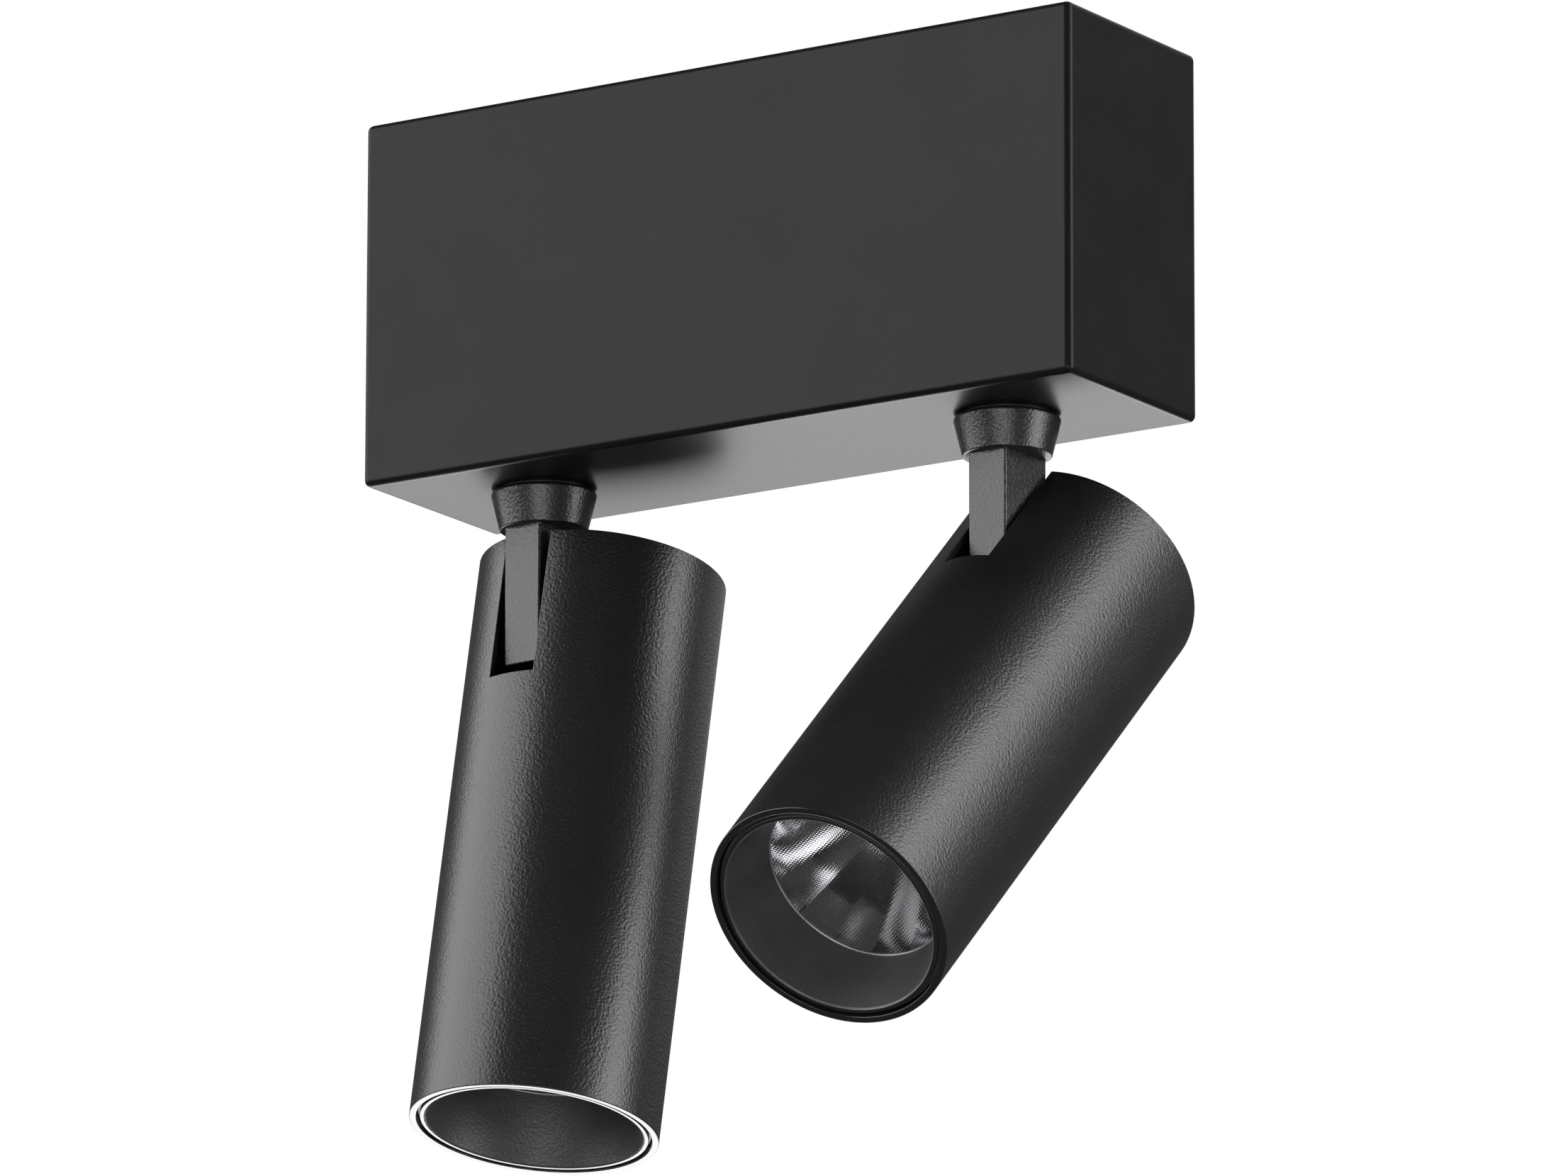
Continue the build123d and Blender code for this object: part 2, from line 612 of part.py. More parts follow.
def anti_glare_baffle():
    """Conical ring pressed into the tube's mouth, holding the lens against the reflector."""
    front = FRONT_Z + BAFFLE_RECESS
    back = LENS_FRONT - RUNNING_GAP
    slope = (BAFFLE_MOUTH_RADIUS - BAFFLE_THROAT_RADIUS) / (back - front)
    flange_back = front + BAFFLE_FLANGE
    flange_radius = BAFFLE_MOUTH_RADIUS - slope * BAFFLE_FLANGE + BAFFLE_WALL
    lip_radius = BAFFLE_THROAT_RADIUS + slope * BAFFLE_LIP + BAFFLE_WALL
    baffle = turned([
        (BAFFLE_MOUTH_RADIUS, front),
        (BAFFLE_RIM_RADIUS, front),
        (BAFFLE_RIM_RADIUS, front + BAFFLE_RIM_DEPTH),
        (BAFFLE_RADIUS, front + BAFFLE_RIM_DEPTH),
        (BAFFLE_RADIUS, flange_back),
        (flange_radius, flange_back),
        (lip_radius, back - BAFFLE_LIP),
        (BAFFLE_RADIUS, back - BAFFLE_LIP),
        (BAFFLE_RADIUS, back),
        (BAFFLE_THROAT_RADIUS, back),
    ], TUBE_OFFSET)
    return baffle


# ---------------------------------------------------------------- assembly
BOX_PIECES = {
    "housing_shell": housing_shell,
    "top_cover": top_cover,
    "cover_screws": cover_screws,
    "magnets": magnets,
    "magnet_keepers": magnet_keepers,
    "contact_carrier": contact_carrier,
    "contact_pins": contact_pins,
    "contact_springs": contact_springs,
    "driver_board": driver_board,
    "board_standoffs": board_standoffs,
    "board_screws": board_screws,
    "inductor_core": inductor_core,
    "inductor_winding": inductor_winding,
    "capacitors": capacitors,
    "driver_chips": driver_chips,
    "output_connectors": output_connectors,
    "insulating_sheet": insulating_sheet,
}
SWIVEL_PIECES = {
    "friction_washer": friction_washer,
    "swivel_collar": swivel_collar,
    "stem": stem,
    "stop_washer": stop_washer,
    "spring_washer": spring_washer,
    "swivel_nut": swivel_nut,
}
HEAD_PIECES = {
    "tilt_screw": tilt_screw,
    "tilt_nut": tilt_nut,
    "tilt_washers": tilt_washers,
    "pivot_yoke": pivot_yoke,
    "head_tube": head_tube,
    "rear_cap": rear_cap,
    "rear_cap_screws": rear_cap_screws,
    "heat_sink": heat_sink,
    "led_leads": led_leads,
    "led_board": led_board,
    "led_emitter": led_emitter,
    "led_holder": led_holder,
    "reflector": reflector,
    "lens": lens,
    "anti_glare_baffle": anti_glare_baffle,
}


def swivel_place(head):
    """Swivel frame of a head in the row frame."""
    return Pos(head["x"], SWIVEL_Y, -BOX_HEIGHT) * Rot(0, 0, head["swivel"])


def head_place(head):
    """Head frame of a head in the row frame."""
    return swivel_place(head) * Pos(0, 0, -PIVOT_DROP) * Rot(0, head["tilt"], 0)


def build():
    """Every node of the lamp, by name."""
    nodes = {name: make() for name, make in BOX_PIECES.items()}
    swivel_shapes = {name: make() for name, make in SWIVEL_PIECES.items()}
    head_shapes = {name: make() for name, make in HEAD_PIECES.items()}
    for side, head in HEADS.items():
        for name, shape in swivel_shapes.items():
            nodes[f"{name}_{side}"] = swivel_place(head) * shape
        for name, shape in head_shapes.items():
            nodes[f"{name}_{side}"] = head_place(head) * shape
    return nodes


os.makedirs("parts", exist_ok=True)
for node, solid in build().items():
    export_step(solid, f"parts/{node}.step")
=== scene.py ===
import json
import math

import bmesh
import bpy
from mathutils import Matrix, Vector


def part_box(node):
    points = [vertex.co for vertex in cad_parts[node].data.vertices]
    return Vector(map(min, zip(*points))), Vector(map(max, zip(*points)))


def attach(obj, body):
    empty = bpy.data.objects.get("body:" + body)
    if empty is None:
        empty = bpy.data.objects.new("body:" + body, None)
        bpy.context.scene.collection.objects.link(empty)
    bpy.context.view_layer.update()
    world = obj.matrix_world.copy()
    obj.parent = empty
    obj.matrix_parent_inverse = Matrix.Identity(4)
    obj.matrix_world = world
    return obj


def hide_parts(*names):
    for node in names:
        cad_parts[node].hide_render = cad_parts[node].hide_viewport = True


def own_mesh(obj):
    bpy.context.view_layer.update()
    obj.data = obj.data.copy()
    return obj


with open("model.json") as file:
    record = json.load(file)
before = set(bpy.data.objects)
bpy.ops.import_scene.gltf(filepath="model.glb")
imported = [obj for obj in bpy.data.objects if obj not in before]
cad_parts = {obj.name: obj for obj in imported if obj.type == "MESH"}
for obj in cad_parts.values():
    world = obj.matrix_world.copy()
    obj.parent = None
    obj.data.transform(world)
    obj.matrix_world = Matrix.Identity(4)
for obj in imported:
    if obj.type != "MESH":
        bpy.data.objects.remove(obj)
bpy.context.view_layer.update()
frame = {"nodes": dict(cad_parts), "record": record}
nodes = frame["nodes"]
joints = {joint["name"]: joint for joint in frame["record"]["behaviour"]["joints"]}
scene = bpy.context.scene
SIDES = ("left", "right")
MM = 0.001
FULL_TURN = 2 * math.pi

# The studio, in metres.
FLOOR_HEIGHT = -2.9
FLOOR_REACH = 12.0
LIGHT_DISTANCE = 1.5
LIGHT_AIM_HEIGHT = -0.07

# Sizes of the pieces made here, in millimetres. A head's pieces are in the head's own frame: origin on
# the tilt pivot, +Z to the head's back end, lens towards -Z, slot side at -X.
TUBE_OFFSET = 11.6              # tube axis behind the tilt pivot
TUBE_RADIUS = 17.9
TUBE_WALL = 1.0
TUBE_BACK = 13.2
TUBE_FRONT = -72.2
TUBE_EDGE = 0.16
TUBE_STEPS = 180
SLOT_WIDTH = 7.8
SLOT_FOOT = -8.5
SLOT_STEPS = 14
LIP_MARGIN = 0.01               # how far above a front face its finish still counts as the lip's

BAFFLE_FRONT = -72.0
BAFFLE_BACK = -61.55
BAFFLE_RADIUS = 16.75
BAFFLE_RIM_RADIUS = 16.35
BAFFLE_RIM_DEPTH = 0.8
BAFFLE_SEAT_DEPTH = 2.5
BAFFLE_FLANGE = 1.2
BAFFLE_LIP_RADIUS = 15.85
BAFFLE_LIP_DEPTH = 0.25
BAFFLE_CONE_RADII = (15.60, 13.50)      # inside, at the mouth and at the throat
BAFFLE_SKIN_RADII = (16.17, 14.75)      # outside, behind the seat and before the flange
BAFFLE_EDGE = 0.08
BAFFLE_STEPS = 192
BEAD_RADIUS = 0.2
BEAD_SETBACK = 0.1
BEAD_STEPS = 6

LENS_FRONT = -61.5
LENS_BACK = -60.0
LENS_RADIUS = 15.9
DOME_PITCH = 0.44
DOME_HEIGHT = 0.018
RIM_CLEARANCE = 0.55            # share of a pitch between the rim and the outermost tops
DOME_SHOULDER_REACH = 0.55      # share of the way from a dome's top to its foot
DOME_SHOULDER_DROP = 0.3        # share of its height already lost there

REFLECTOR_MOUTH = -60.0
REFLECTOR_THROAT = -45.6
REFLECTOR_RADII = (5.0, 11.5, 14.4)     # inside, at the throat, half way and at the mouth
REFLECTOR_WALLS = (1.4, 1.0, 0.8)       # thickness at the same places
REFLECTOR_LOBES = 16
LOBE_STEPS = 12
LOBE_BULGE = 0.07

SPRING_WIRE_RADIUS = 0.18
SPRING_TURNS = 4
SPRING_STEPS = 28               # rings to a turn
WIRE_SIDES = 10


# ---------------------------------------------------------------- camera, light and floor
def make_camera():
    """Long lens below the lamp, at the photograph's viewing angle."""
    azimuth, elevation, roll = math.radians(33.164), math.radians(-14.109), math.radians(0.137)
    distance, shift_x, shift_y = 2.100635, 0.000955, -0.071262
    back = Vector((
        math.sin(azimuth) * math.cos(elevation),
        -math.cos(azimuth) * math.cos(elevation),
        math.sin(elevation),
    ))
    level = Vector((math.cos(azimuth), math.sin(azimuth), 0))
    upright = back.cross(level)
    right = level * math.cos(roll) + upright * math.sin(roll)
    up = upright * math.cos(roll) - level * math.sin(roll)
    data = bpy.data.cameras.new("camera")
    data.lens, data.sensor_width = 336.41, 36.0
    data.clip_start, data.clip_end = 0.1, 50.0
    camera = bpy.data.objects.new("camera", data)
    scene.collection.objects.link(camera)
    turn = Matrix((right, up, back)).transposed().to_4x4()
    place = back * distance + right * shift_x + up * shift_y
    camera.matrix_world = Matrix.Translation(place) @ turn
    scene.camera = camera


def soft_light(name, place, aim, width, height, radiance):
    """Soft box at place, facing aim, as bright as radiance."""
    data = bpy.data.lights.new(name, "AREA")
    data.shape, data.size, data.size_y = "RECTANGLE", width, height
    data.energy = radiance * math.pi * width * height
    lamp = bpy.data.objects.new(name, data)
    scene.collection.objects.link(lamp)
    place, aim = Vector(place), Vector(aim)
    turn = (aim - place).to_track_quat("-Z", "Y").to_matrix().to_4x4()
    lamp.matrix_world = Matrix.Translation(place) @ turn
    lamp.visible_camera = False
    return lamp


def make_lights():
    """Soft boxes round the lamp: (name, azimuth, elevation, width, height, radiance), degrees and metres."""
    boxes = [
        ("key_front_left", -53, 17, 2.1, 1.3, 2.3),
        ("side_right", 105, 12, 0.95, 2.0, 3.3),
        ("back_low_left", -139, -32, 1.4, 0.85, 4.6),
        ("front_right_low", 22, -9, 1.05, 0.45, 2.6),
        ("low_right", 62, -36, 1.3, 0.9, 0.5),
        ("top_behind", 170, 52, 1.5, 0.8, 0.75),
        ("back_fill", -178, 22, 1.4, 0.6, 0.45),
    ]
    centre = Vector((0, 0, LIGHT_AIM_HEIGHT))
    for name, azimuth, elevation, width, height, radiance in boxes:
        turn, rise = math.radians(azimuth), math.radians(elevation)
        way = Vector((
            math.sin(turn) * math.cos(rise), -math.cos(turn) * math.cos(rise), math.sin(rise)))
        soft_light(name, centre + way * LIGHT_DISTANCE, centre, width, height, radiance)


def make_world():
    """White surround for the camera, softer grey for the light that it gives."""
    world = bpy.data.worlds.new("studio")
    world.use_nodes = True
    scene.world = world
    tree = world.node_tree
    seen = tree.nodes.new("ShaderNodeLightPath")
    white = tree.nodes.new("ShaderNodeBackground")
    white.inputs["Color"].default_value = (1, 1, 1, 1)
    white.inputs["Strength"].default_value = 1.0
    grey = tree.nodes["Background"]
    grey.inputs["Color"].default_value = (1, 1, 1, 1)
    grey.inputs["Strength"].default_value = 0.08
    mix = tree.nodes.new("ShaderNodeMixShader")
    tree.links.new(seen.outputs["Is Camera Ray"], mix.inputs[0])
    tree.links.new(grey.outputs[0], mix.inputs[1])
    tree.links.new(white.outputs[0], mix.inputs[2])
    tree.links.new(mix.outputs[0], tree.nodes["World Output"].inputs["Surface"])


def make_floor():
    """Plain pale floor as far below as under a ceiling lamp, with its own wash of light."""
    grid = bmesh.new()
    bmesh.ops.create_grid(grid, x_segments=8, y_segments=8, size=FLOOR_REACH)
    bmesh.ops.translate(grid, verts=grid.verts, vec=(0, 0, FLOOR_HEIGHT))
    data = bpy.data.meshes.new("floor")
    grid.to_mesh(data)
    grid.free()
    floor = bpy.data.objects.new("floor", data)
    # Only the camera sees the floor, so the lamp's finishes mirror the soft boxes alone.
    floor.visible_glossy = floor.visible_diffuse = floor.visible_transmission = False
    scene.collection.objects.link(floor)
    wash_place, wash_size = (0, 0, FLOOR_HEIGHT / 3), 16.0
    soft_light("floor_wash", wash_place, (0, 0, FLOOR_HEIGHT), wash_size, wash_size, 1.1)
    finish = Finish("floor_pale", Roughness=0.8)
    mottle = finish.noise(0.4, 3)
    finish.set("Base Color", finish.tint(mottle, (0.80, 0.80, 0.80), (0.86, 0.86, 0.86)))
    data.materials.append(finish.material)


# ---------------------------------------------------------------- materials
class Finish:
    """A procedural material, with short calls for the nodes in it. Sizes are in metres."""

    def __init__(self, name, **sockets):
        self.material = bpy.data.materials.new(name)
        self.material.use_nodes = True
        self.tree = self.material.node_tree
        self.shader = self.tree.nodes["Principled BSDF"]
        self.place = self.tree.nodes.new("ShaderNodeTexCoord").outputs["Object"]
        for socket, value in sockets.items():
            self.shader.inputs[socket.replace("_", " ")].default_value = value

    def set(self, socket, output):
        self.tree.links.new(output, self.shader.inputs[socket])

    def stretched(self, x, y, z):
        """Object coordinates scaled along each axis."""
        node = self.tree.nodes.new("ShaderNodeMapping")
        node.inputs["Scale"].default_value = (x, y, z)
        self.tree.links.new(self.place, node.inputs["Vector"])
        return node.outputs["Vector"]

    def noise(self, size, detail=2.0, roughness=0.5, place=None):
        node = self.tree.nodes.new("ShaderNodeTexNoise")
        node.inputs["Scale"].default_value = 1.0 / size
        node.inputs["Detail"].default_value = detail
        node.inputs["Roughness"].default_value = roughness
        self.tree.links.new(place or self.place, node.inputs["Vector"])
        return node.outputs["Fac"]

    def ranged(self, value, low, high, start=0.3, end=0.7):
        """value from start to end, mapped to low to high."""
        node = self.tree.nodes.new("ShaderNodeMapRange")
        node.inputs["From Min"].default_value = start
        node.inputs["From Max"].default_value = end
        node.inputs["To Min"].default_value = low
        node.inputs["To Max"].default_value = high
        self.tree.links.new(value, node.inputs["Value"])
        return node.outputs["Result"]

    def tint(self, value, dark, light, start=0.3, end=0.7):
        """Colour from dark to light as value goes from start to end."""
        node = self.tree.nodes.new("ShaderNodeMix")
        node.data_type = "RGBA"
        node.inputs["A"].default_value = (*dark, 1)
        node.inputs["B"].default_value = (*light, 1)
        self.tree.links.new(self.ranged(value, 0, 1, start, end), node.inputs["Factor"])
        return node.outputs["Result"]

    def bump(self, height, depth, under=None):
        """Surface relief of that depth in metres, over another relief if there is one."""
        node = self.tree.nodes.new("ShaderNodeBump")
        node.inputs["Strength"].default_value = 1.0
        node.inputs["Distance"].default_value = depth
        self.tree.links.new(height, node.inputs["Height"])
        if under is not None:
            self.tree.links.new(under, node.inputs["Normal"])
        return node.outputs["Normal"]


def powder_coat(name, base, gloss, rough, grain, depth):
    """Black powder coat: orange peel of that grain and depth, with slight drift in colour and gloss."""
    finish = Finish(name, Specular_IOR_Level=gloss)
    drift = finish.noise(0.012, 3)
    peel = finish.noise(grain, 1.0, 0.4)
    pebble = finish.noise(grain * 0.45, 1.0)
    finish.set("Base Color", finish.tint(drift, tuple(0.8 * c for c in base), tuple(1.25 * c for c in base)))
    finish.set("Roughness", finish.ranged(pebble, rough - 0.04, rough + 0.05))
    relief = finish.bump(peel, depth)
    finish.set("Normal", finish.bump(pebble, depth * 0.25, relief))
    return finish.material


def moulded(name, base, rough=0.5, grain=0.00025, depth=0.000006):
    """Moulded plastic: fine spark texture and faint flow marks."""
    finish = Finish(name)
    flow = finish.noise(0.006, 4)
    grain_noise = finish.noise(grain, 2)
    finish.set("Base Color", finish.tint(flow, tuple(0.88 * c for c in base), tuple(1.1 * c for c in base)))
    finish.set("Roughness", finish.ranged(grain_noise, rough - 0.06, rough + 0.08))
    finish.set("Normal", finish.bump(grain_noise, depth))
    return finish.material


def metal(name, base, rough=0.3, brush=(1, 1, 1), grain=0.0002, depth=0.0000015, stain=0.85):
    """Bare or plated metal: fine tool marks along one direction and duller patches."""
    finish = Finish(name, Metallic=1.0)
    patch = finish.noise(0.003, 3)
    marks = finish.noise(grain, 2, 0.6, finish.stretched(*brush))
    finish.set("Base Color", finish.tint(patch, tuple(stain * c for c in base), base))
    finish.set("Roughness", finish.ranged(marks, rough * 0.75, rough * 1.3))
    finish.set("Normal", finish.bump(marks, depth))
    return finish.material


def clear(name, tone, rough, ior=1.49):
    """Clear moulded acrylic with a faint haze."""
    finish = Finish(name, Transmission_Weight=1.0, IOR=ior)
    haze = finish.noise(0.004, 3)
    finish.set("Base Color", finish.tint(haze, tuple(0.985 * c for c in tone), tone))
    finish.set("Roughness", finish.ranged(haze, rough * 0.7, rough * 1.3))
    return finish.material


def make_materials():
    """One finish for each material slot of the record, and the smoother one of the front lips."""
    return {
        "satin_black_coat": powder_coat(
            "satin_black_coat", (0.010, 0.010, 0.0105), 0.235, 0.31, 0.0003, 0.000003),
        "textured_black_coat": powder_coat(
            "textured_black_coat", (0.011, 0.011, 0.0115), 1.0, 0.31, 0.0004, 0.000067),
        "baffle_black": powder_coat(
            "baffle_black", (0.10, 0.10, 0.101), 1.0, 0.40, 0.0004, 0.000075),
        "turned_lip": powder_coat(
            "turned_lip", (0.010, 0.010, 0.0105), 1.0, 0.20, 0.0004, 0.000002),
        "black_plastic": moulded("black_plastic", (0.018, 0.018, 0.019), 0.48),
        "white_plastic": moulded("white_plastic", (0.78, 0.77, 0.74), 0.42),
        "chip_resin": moulded("chip_resin", (0.022, 0.022, 0.024), 0.6),
        "insulating_film": moulded("insulating_film", (0.42, 0.40, 0.30), 0.35),
        "ptfe_washer": moulded("ptfe_washer", (0.06, 0.06, 0.062), 0.4),
        "lead_sleeve": moulded("lead_sleeve", (0.45, 0.03, 0.02), 0.4),
        "capacitor_sleeve": moulded("capacitor_sleeve", (0.03, 0.035, 0.06), 0.3),
        "circuit_board": moulded("circuit_board", (0.02, 0.16, 0.06), 0.35, 0.0006, 0.00001),
        "ferrite": moulded("ferrite", (0.05, 0.05, 0.055), 0.55),
        "led_board_white": moulded("led_board_white", (0.82, 0.82, 0.80), 0.35),
        "phosphor": moulded("phosphor", (0.90, 0.68, 0.12), 0.35, 0.0003, 0.00001),
        "zinc_screws": metal("zinc_screws", (0.62, 0.63, 0.66), 0.28),
        "zinc_steel": metal("zinc_steel", (0.58, 0.60, 0.63), 0.32),
        "nickel_plate": metal(
            "nickel_plate", (0.66, 0.64, 0.60), 0.24, (1, 12, 1), stain=0.95),
        "gold_contact": metal("gold_contact", (0.95, 0.70, 0.28), 0.2),
        "spring_steel": metal("spring_steel", (0.56, 0.57, 0.58), 0.25),
        "brass_standoff": metal("brass_standoff", (0.80, 0.60, 0.25), 0.3),
        "copper_winding": metal("copper_winding", (0.90, 0.42, 0.20), 0.3, (1, 30, 1)),
        "raw_aluminium": metal("raw_aluminium", (0.76, 0.77, 0.79), 0.33),
        "reflector_chrome": metal("reflector_chrome", (0.74, 0.74, 0.75), 0.07, stain=0.96),
        "black_steel": metal("black_steel", (0.045, 0.045, 0.05), 0.38),
        "black_washer": moulded("black_washer", (0.02, 0.02, 0.021), 0.45),
        "black_anodised": metal("black_anodised", (0.035, 0.035, 0.038), 0.42),
        "clear_lens": clear("clear_lens", (0.98, 0.985, 0.99), 0.02),
    }


def coat_cad_nodes(finishes):
    """Gives every carried-over CAD node the finish of its material slot."""
    for node in nodes.values():
        for index, slot in enumerate(node.material_slots):
            if slot.material is not None:
                name = slot.material.name.split(".")[0]
                node.data.materials[index] = finishes[name]


# ---------------------------------------------------------------- mesh work
def head_frame(side):
    """Place of a head's own frame in the row frame, from its tilt joint at rest."""
    joint = joints["head_tilt_" + side]
    swivel = math.atan2(-joint["axis"][0], joint["axis"][1])
    tilt = math.radians(-joint["range_deg"][0])
    turn = Matrix.Rotation(swivel, 4, "Z") @ Matrix.Rotation(tilt, 4, "Y")
    return Matrix.Translation(joint["pos_m"]) @ turn


def add_piece(mesh, node, body, slot, trims=()):
    """The mesh as the piece that stands for a CAD node; trims names the finishes after the slot's own."""
    data = bpy.data.meshes.new(node + "_made")
    mesh.to_mesh(data)
    mesh.free()
    for finish in (slot, *trims):
        data.materials.append(finishes[finish])
    piece = bpy.data.objects.new(node + "_made", data)
    scene.collection.objects.link(piece)
    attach(piece, body)
    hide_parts(node)
    return piece


def head_piece(name, side, build, slot, trims=(), sharp=30.0):
    """Piece on one head: build fills a mesh in millimetres. Edges above sharp degrees stay crisp."""
    mesh = bmesh.new()
    build(mesh)
    bmesh.ops.recalc_face_normals(mesh, faces=mesh.faces)
    mesh.transform(head_frame(side) @ Matrix.Scale(MM, 4))
    for face in mesh.faces:
        face.smooth = True
    for edge in mesh.edges:
        edge.smooth = edge.calc_face_angle(0) < math.radians(sharp)
    return add_piece(mesh, f"{name}_{side}", "head_" + side, slot, trims)


def round_edges(piece, width, segments=3):
    """Rolls every sharp edge of the piece over by width, in millimetres."""
    piece.data.attributes.remove(piece.data.attributes["sharp_edge"])
    bevel = piece.modifiers.new("rounded_edges", "BEVEL")
    bevel.width = width * MM
    bevel.segments = segments
    bevel.limit_method = "ANGLE"
    bevel.angle_limit = math.radians(25)
    bevel.harden_normals = True


def around(mesh, radius, z, angle):
    """New point at that radius and height about the tube's axis; angle 0 is the slot side."""
    x = TUBE_OFFSET - radius * math.cos(angle)
    return mesh.verts.new((x, radius * math.sin(angle), z))


def turned(mesh, outline, segments):
    """Ring whose section is the closed outline of (radius, z) points."""
    columns = [
        [around(mesh, radius, z, FULL_TURN * index / segments) for radius, z in outline]
        for index in range(segments)
    ]
    for index, column in enumerate(columns):
        following = columns[(index + 1) % segments]
        for k in range(len(outline)):
            m = (k + 1) % len(outline)
            mesh.faces.new((column[k], column[m], following[m], following[k]))


# ---------------------------------------------------------------- pieces of the heads
def tube(mesh):
    """Tube with a parallel-sided slot from its back end, closed at the foot of the slot."""
    outer, inner, half = TUBE_RADIUS, TUBE_RADIUS - TUBE_WALL, SLOT_WIDTH / 2
    below = [(outer, TUBE_FRONT), (inner, TUBE_FRONT), (inner, SLOT_FOOT), (outer, SLOT_FOOT)]
    slot_angle = math.asin(half / outer)
    angles = [
        slot_angle + (FULL_TURN - 2 * slot_angle) * k / TUBE_STEPS for k in range(TUBE_STEPS + 1)]
    inside_slot = [-slot_angle + 2 * slot_angle * k / SLOT_STEPS for k in range(1, SLOT_STEPS)]

    def column(radius, z, angle, side):
        """Point on the tube; side 1 or -1 puts it on that flank of the slot, which is flat."""
        if side:
            return mesh.verts.new((TUBE_OFFSET - math.sqrt(radius ** 2 - half ** 2), side * half, z))
        return around(mesh, radius, z, angle)

    full = []
    for index, angle in enumerate(angles):
        side = 1 if index == 0 else -1 if index == TUBE_STEPS else 0
        low = [column(radius, z, angle, side) for radius, z in below]
        high = [column(radius, TUBE_BACK, angle, side) for radius in (inner, outer)]
        full.append(low + high)
    section = (0, 1, 2, 4, 5, 3)        # a full column's points, in order round the wall's section
    for left, right in zip(full, full[1:]):
        for k, m in zip(section, section[1:] + section[:1]):
            mesh.faces.new((left[k], left[m], right[m], right[k]))
    for end in (full[0], full[-1]):
        mesh.faces.new((end[2], end[4], end[5], end[3]))
    # Below the slot the wall is only as high as the slot's foot.
    short = [full[-1][:4]]
    short += [[around(mesh, radius, z, angle) for radius, z in below] for angle in inside_slot]
    short.append(full[0][:4])
    for left, right in zip(short, short[1:]):
        for k in range(4):
            m = (k + 1) % 4
            mesh.faces.new((left[k], left[m], right[m], right[k]))
    smooth_lip(mesh, TUBE_FRONT)


def smooth_lip(mesh, front):
    """Gives the faces that lie at the front height the piece's first trim, which is smoother."""
    for face in mesh.faces:
        if all(vert.co.z < front + LIP_MARGIN for vert in face.verts):
            face.material_index = 1


def baffle(mesh):
    """Conical ring with a lip at the mouth, a groove round it and a fine bead at the throat, whose bright
    metal is a painted highlight line.
    """
    mouth, throat = BAFFLE_CONE_RADII
    skin_front, skin_back = BAFFLE_SKIN_RADII
    rim_back = BAFFLE_FRONT + BAFFLE_RIM_DEPTH
    seat_back = BAFFLE_FRONT + BAFFLE_SEAT_DEPTH
    flange_front = BAFFLE_BACK - BAFFLE_FLANGE
    bead_back = BAFFLE_BACK - BEAD_SETBACK
    quarter = [math.radians(90 / BEAD_STEPS * k) for k in range(BEAD_STEPS + 1)]
    bead = [
        (throat + BEAD_RADIUS * (1 - math.cos(turn)), bead_back - BEAD_RADIUS * math.sin(turn))
        for turn in quarter
    ]
    turned(mesh, [
        (BAFFLE_LIP_RADIUS, BAFFLE_FRONT), (BAFFLE_RIM_RADIUS, BAFFLE_FRONT),
        (BAFFLE_RIM_RADIUS, rim_back), (BAFFLE_RADIUS, rim_back),
        (BAFFLE_RADIUS, seat_back), (skin_front, seat_back),
        (skin_back, flange_front), (BAFFLE_RADIUS, flange_front),
        (BAFFLE_RADIUS, BAFFLE_BACK), (throat, BAFFLE_BACK),
    ] + bead + [(mouth, BAFFLE_FRONT + BAFFLE_LIP_DEPTH)], BAFFLE_STEPS)
    smooth_lip(mesh, BAFFLE_FRONT)
    # Painted highlight: the throat bead's faces take the third trim, bright bare metal on a black baffle,
    # standing in for the thin glint line at the throat.
    for face in mesh.faces:
        middle = face.calc_center_median()
        reach = math.hypot(middle.x - TUBE_OFFSET, middle.y)
        if middle.z > bead_back - BEAD_RADIUS and reach < throat + BEAD_RADIUS:
            face.material_index = 2


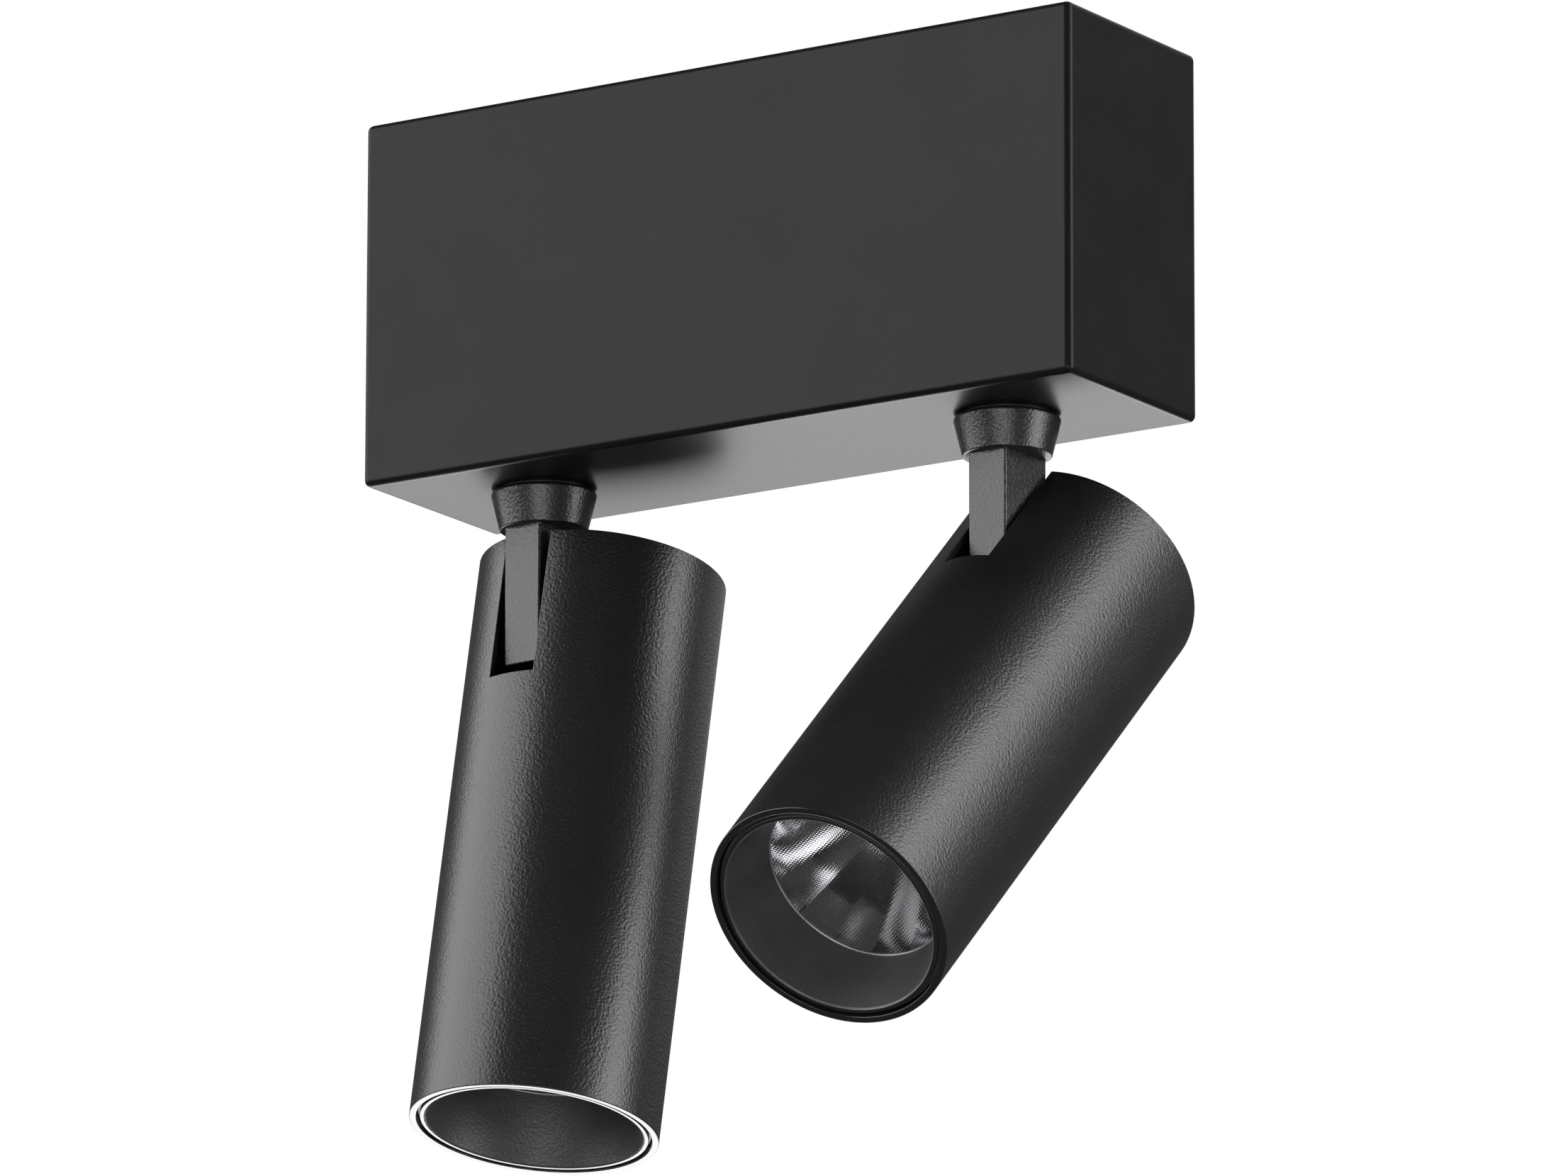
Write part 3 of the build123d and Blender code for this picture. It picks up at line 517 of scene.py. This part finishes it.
def lens(mesh):
    """Clear disc with a honeycomb of tiny domes on its front."""
    base = LENS_FRONT + DOME_HEIGHT
    corner_reach = DOME_PITCH / math.sqrt(3)
    row_step = DOME_PITCH * math.sqrt(3) / 2
    rows = int(LENS_RADIUS / row_step) + 1
    shared = {}

    def corner(x, y):
        """Corner at that place, shared by the domes that meet there."""
        key = (round(x * 1000), round(y * 1000))
        near = [(key[0] + i, key[1] + j) for i in (-1, 0, 1) for j in (-1, 0, 1)]
        found = next((shared[k] for k in near if k in shared), None)
        if found is None:
            found = shared[key] = mesh.verts.new((TUBE_OFFSET + x, y, base))
        return found

    for row in range(-rows, rows + 1):
        for place in range(-rows - 4, rows + 5):
            x, y = (place + (row % 2) / 2) * DOME_PITCH, row * row_step
            if math.hypot(x, y) > LENS_RADIUS - DOME_PITCH * RIM_CLEARANCE:
                continue
            top = mesh.verts.new((TUBE_OFFSET + x, y, LENS_FRONT))
            ring, foot = [], []
            for k in range(6):
                angle = FULL_TURN * (k + 0.5) / 6
                east, north = math.cos(angle) * corner_reach, math.sin(angle) * corner_reach
                foot.append(corner(x + east, y + north))
                ring.append(mesh.verts.new((
                    TUBE_OFFSET + x + east * DOME_SHOULDER_REACH,
                    y + north * DOME_SHOULDER_REACH,
                    LENS_FRONT + DOME_HEIGHT * DOME_SHOULDER_DROP,
                )))
            for k in range(6):
                m = (k + 1) % 6
                mesh.faces.new((top, ring[k], ring[m]))
                mesh.faces.new((ring[k], foot[k], foot[m], ring[m]))
    # The wall is built by walking round the rim, so that its faces have the same order each run.
    loops = [edge.link_loops[0] for edge in mesh.edges if edge.is_boundary]
    following = {loop.vert: loop.link_loop_next.vert for loop in loops}
    rim = [loops[0].vert]
    while len(rim) < len(loops):
        rim.append(following[rim[-1]])
    back = []
    for vert in rim:
        x, y = vert.co.x - TUBE_OFFSET, vert.co.y
        stretch = LENS_RADIUS / math.hypot(x, y)
        vert.co = (TUBE_OFFSET + x * stretch, y * stretch, base)
        back.append(mesh.verts.new((vert.co.x, vert.co.y, LENS_BACK)))
    for k in range(len(rim)):
        m = (k + 1) % len(rim)
        mesh.faces.new((rim[k], back[k], back[m], rim[m]))
    mesh.faces.new(back)


def reflector(mesh):
    """Bright cup of long shallow lobes inside, smooth outside."""
    throat, waist, mouth = REFLECTOR_RADII
    steps = REFLECTOR_LOBES * LOBE_STEPS
    turns = [FULL_TURN * j / steps for j in range(steps)]

    def height_at(share):
        return REFLECTOR_THROAT + (REFLECTOR_MOUTH - REFLECTOR_THROAT) * share

    def radius_at(share):
        """Inside radius, a quadratic through the throat, the middle and the mouth."""
        slope, bend = 4 * waist - 3 * throat - mouth, 2 * throat + 2 * mouth - 4 * waist
        return throat + slope * share + bend * share ** 2

    lattice = []
    for i in range(LOBE_STEPS + 1):
        share = i / LOBE_STEPS
        across = 1 - (2 * share - 1) ** 2
        ring = []
        for j, turn in enumerate(turns):
            within = (j / LOBE_STEPS) % 1
            along = 1 - (2 * within - 1) ** 2
            chord = 1 / math.cos((within - 0.5) * FULL_TURN / REFLECTOR_LOBES)
            radius = radius_at(share) * chord - LOBE_BULGE * across * along
            ring.append(around(mesh, radius, height_at(share), turn))
        lattice.append(ring)
    for share, wall in zip((1.0, 0.5, 0.0), reversed(REFLECTOR_WALLS)):
        radius = radius_at(share) + wall
        lattice.append([around(mesh, radius, height_at(share), turn) for turn in turns])
    for low, high in zip(lattice, lattice[1:] + lattice[:1]):
        for j in range(steps):
            m = (j + 1) % steps
            mesh.faces.new((low[j], low[m], high[m], high[j]))


# ---------------------------------------------------------------- contact springs
def contact_springs():
    """Coil under each contact pin, at its rest length."""
    low, high = (Vector(corner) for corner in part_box("contact_springs"))
    wire = SPRING_WIRE_RADIUS * MM
    coil = (high.y - low.y) / 2 - wire
    foot, top = low.z + wire, high.z - wire
    steps = SPRING_TURNS * SPRING_STEPS
    up = Vector((0, 0, 1))
    mesh = bmesh.new()
    for middle in (low.x + coil + wire, high.x - coil - wire):
        rings = []
        for k in range(steps + 1):
            turn = FULL_TURN * k / SPRING_STEPS
            out = Vector((math.cos(turn), math.sin(turn), 0))
            centre = Vector((middle, 0, foot + (top - foot) * k / steps)) + out * coil
            ring = []
            for m in range(WIRE_SIDES):
                angle = FULL_TURN * m / WIRE_SIDES
                ring.append(mesh.verts.new(
                    centre + out * wire * math.cos(angle) + up * wire * math.sin(angle)))
            rings.append(ring)
        for near, far in zip(rings, rings[1:]):
            for m in range(WIRE_SIDES):
                n = (m + 1) % WIRE_SIDES
                mesh.faces.new((near[m], near[n], far[n], far[m]))
        mesh.faces.new(rings[0])
        mesh.faces.new(rings[-1])
    bmesh.ops.recalc_face_normals(mesh, faces=mesh.faces)
    for face in mesh.faces:
        face.smooth = len(face.verts) == 4
    piece = add_piece(mesh, "contact_springs", "driver_box", "spring_steel")
    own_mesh(piece)


# ---------------------------------------------------------------- assembly
scene.view_settings.view_transform = "Standard"
scene.view_settings.look = "None"
make_camera()
make_world()
make_floor()
make_lights()
finishes = make_materials()
coat_cad_nodes(finishes)
for side in SIDES:
    round_edges(head_piece(
        "head_tube", side, tube, "textured_black_coat", ("turned_lip",)), TUBE_EDGE)
    # The baffle's last trim, bright aluminium on its black throat bead, is a painted highlight line.
    round_edges(head_piece(
        "anti_glare_baffle", side, baffle, "baffle_black", ("turned_lip", "raw_aluminium")), BAFFLE_EDGE, 2)
    head_piece("lens", side, lens, "clear_lens", sharp=60.0)
    head_piece("reflector", side, reflector, "reflector_chrome", sharp=12.0)
contact_springs()
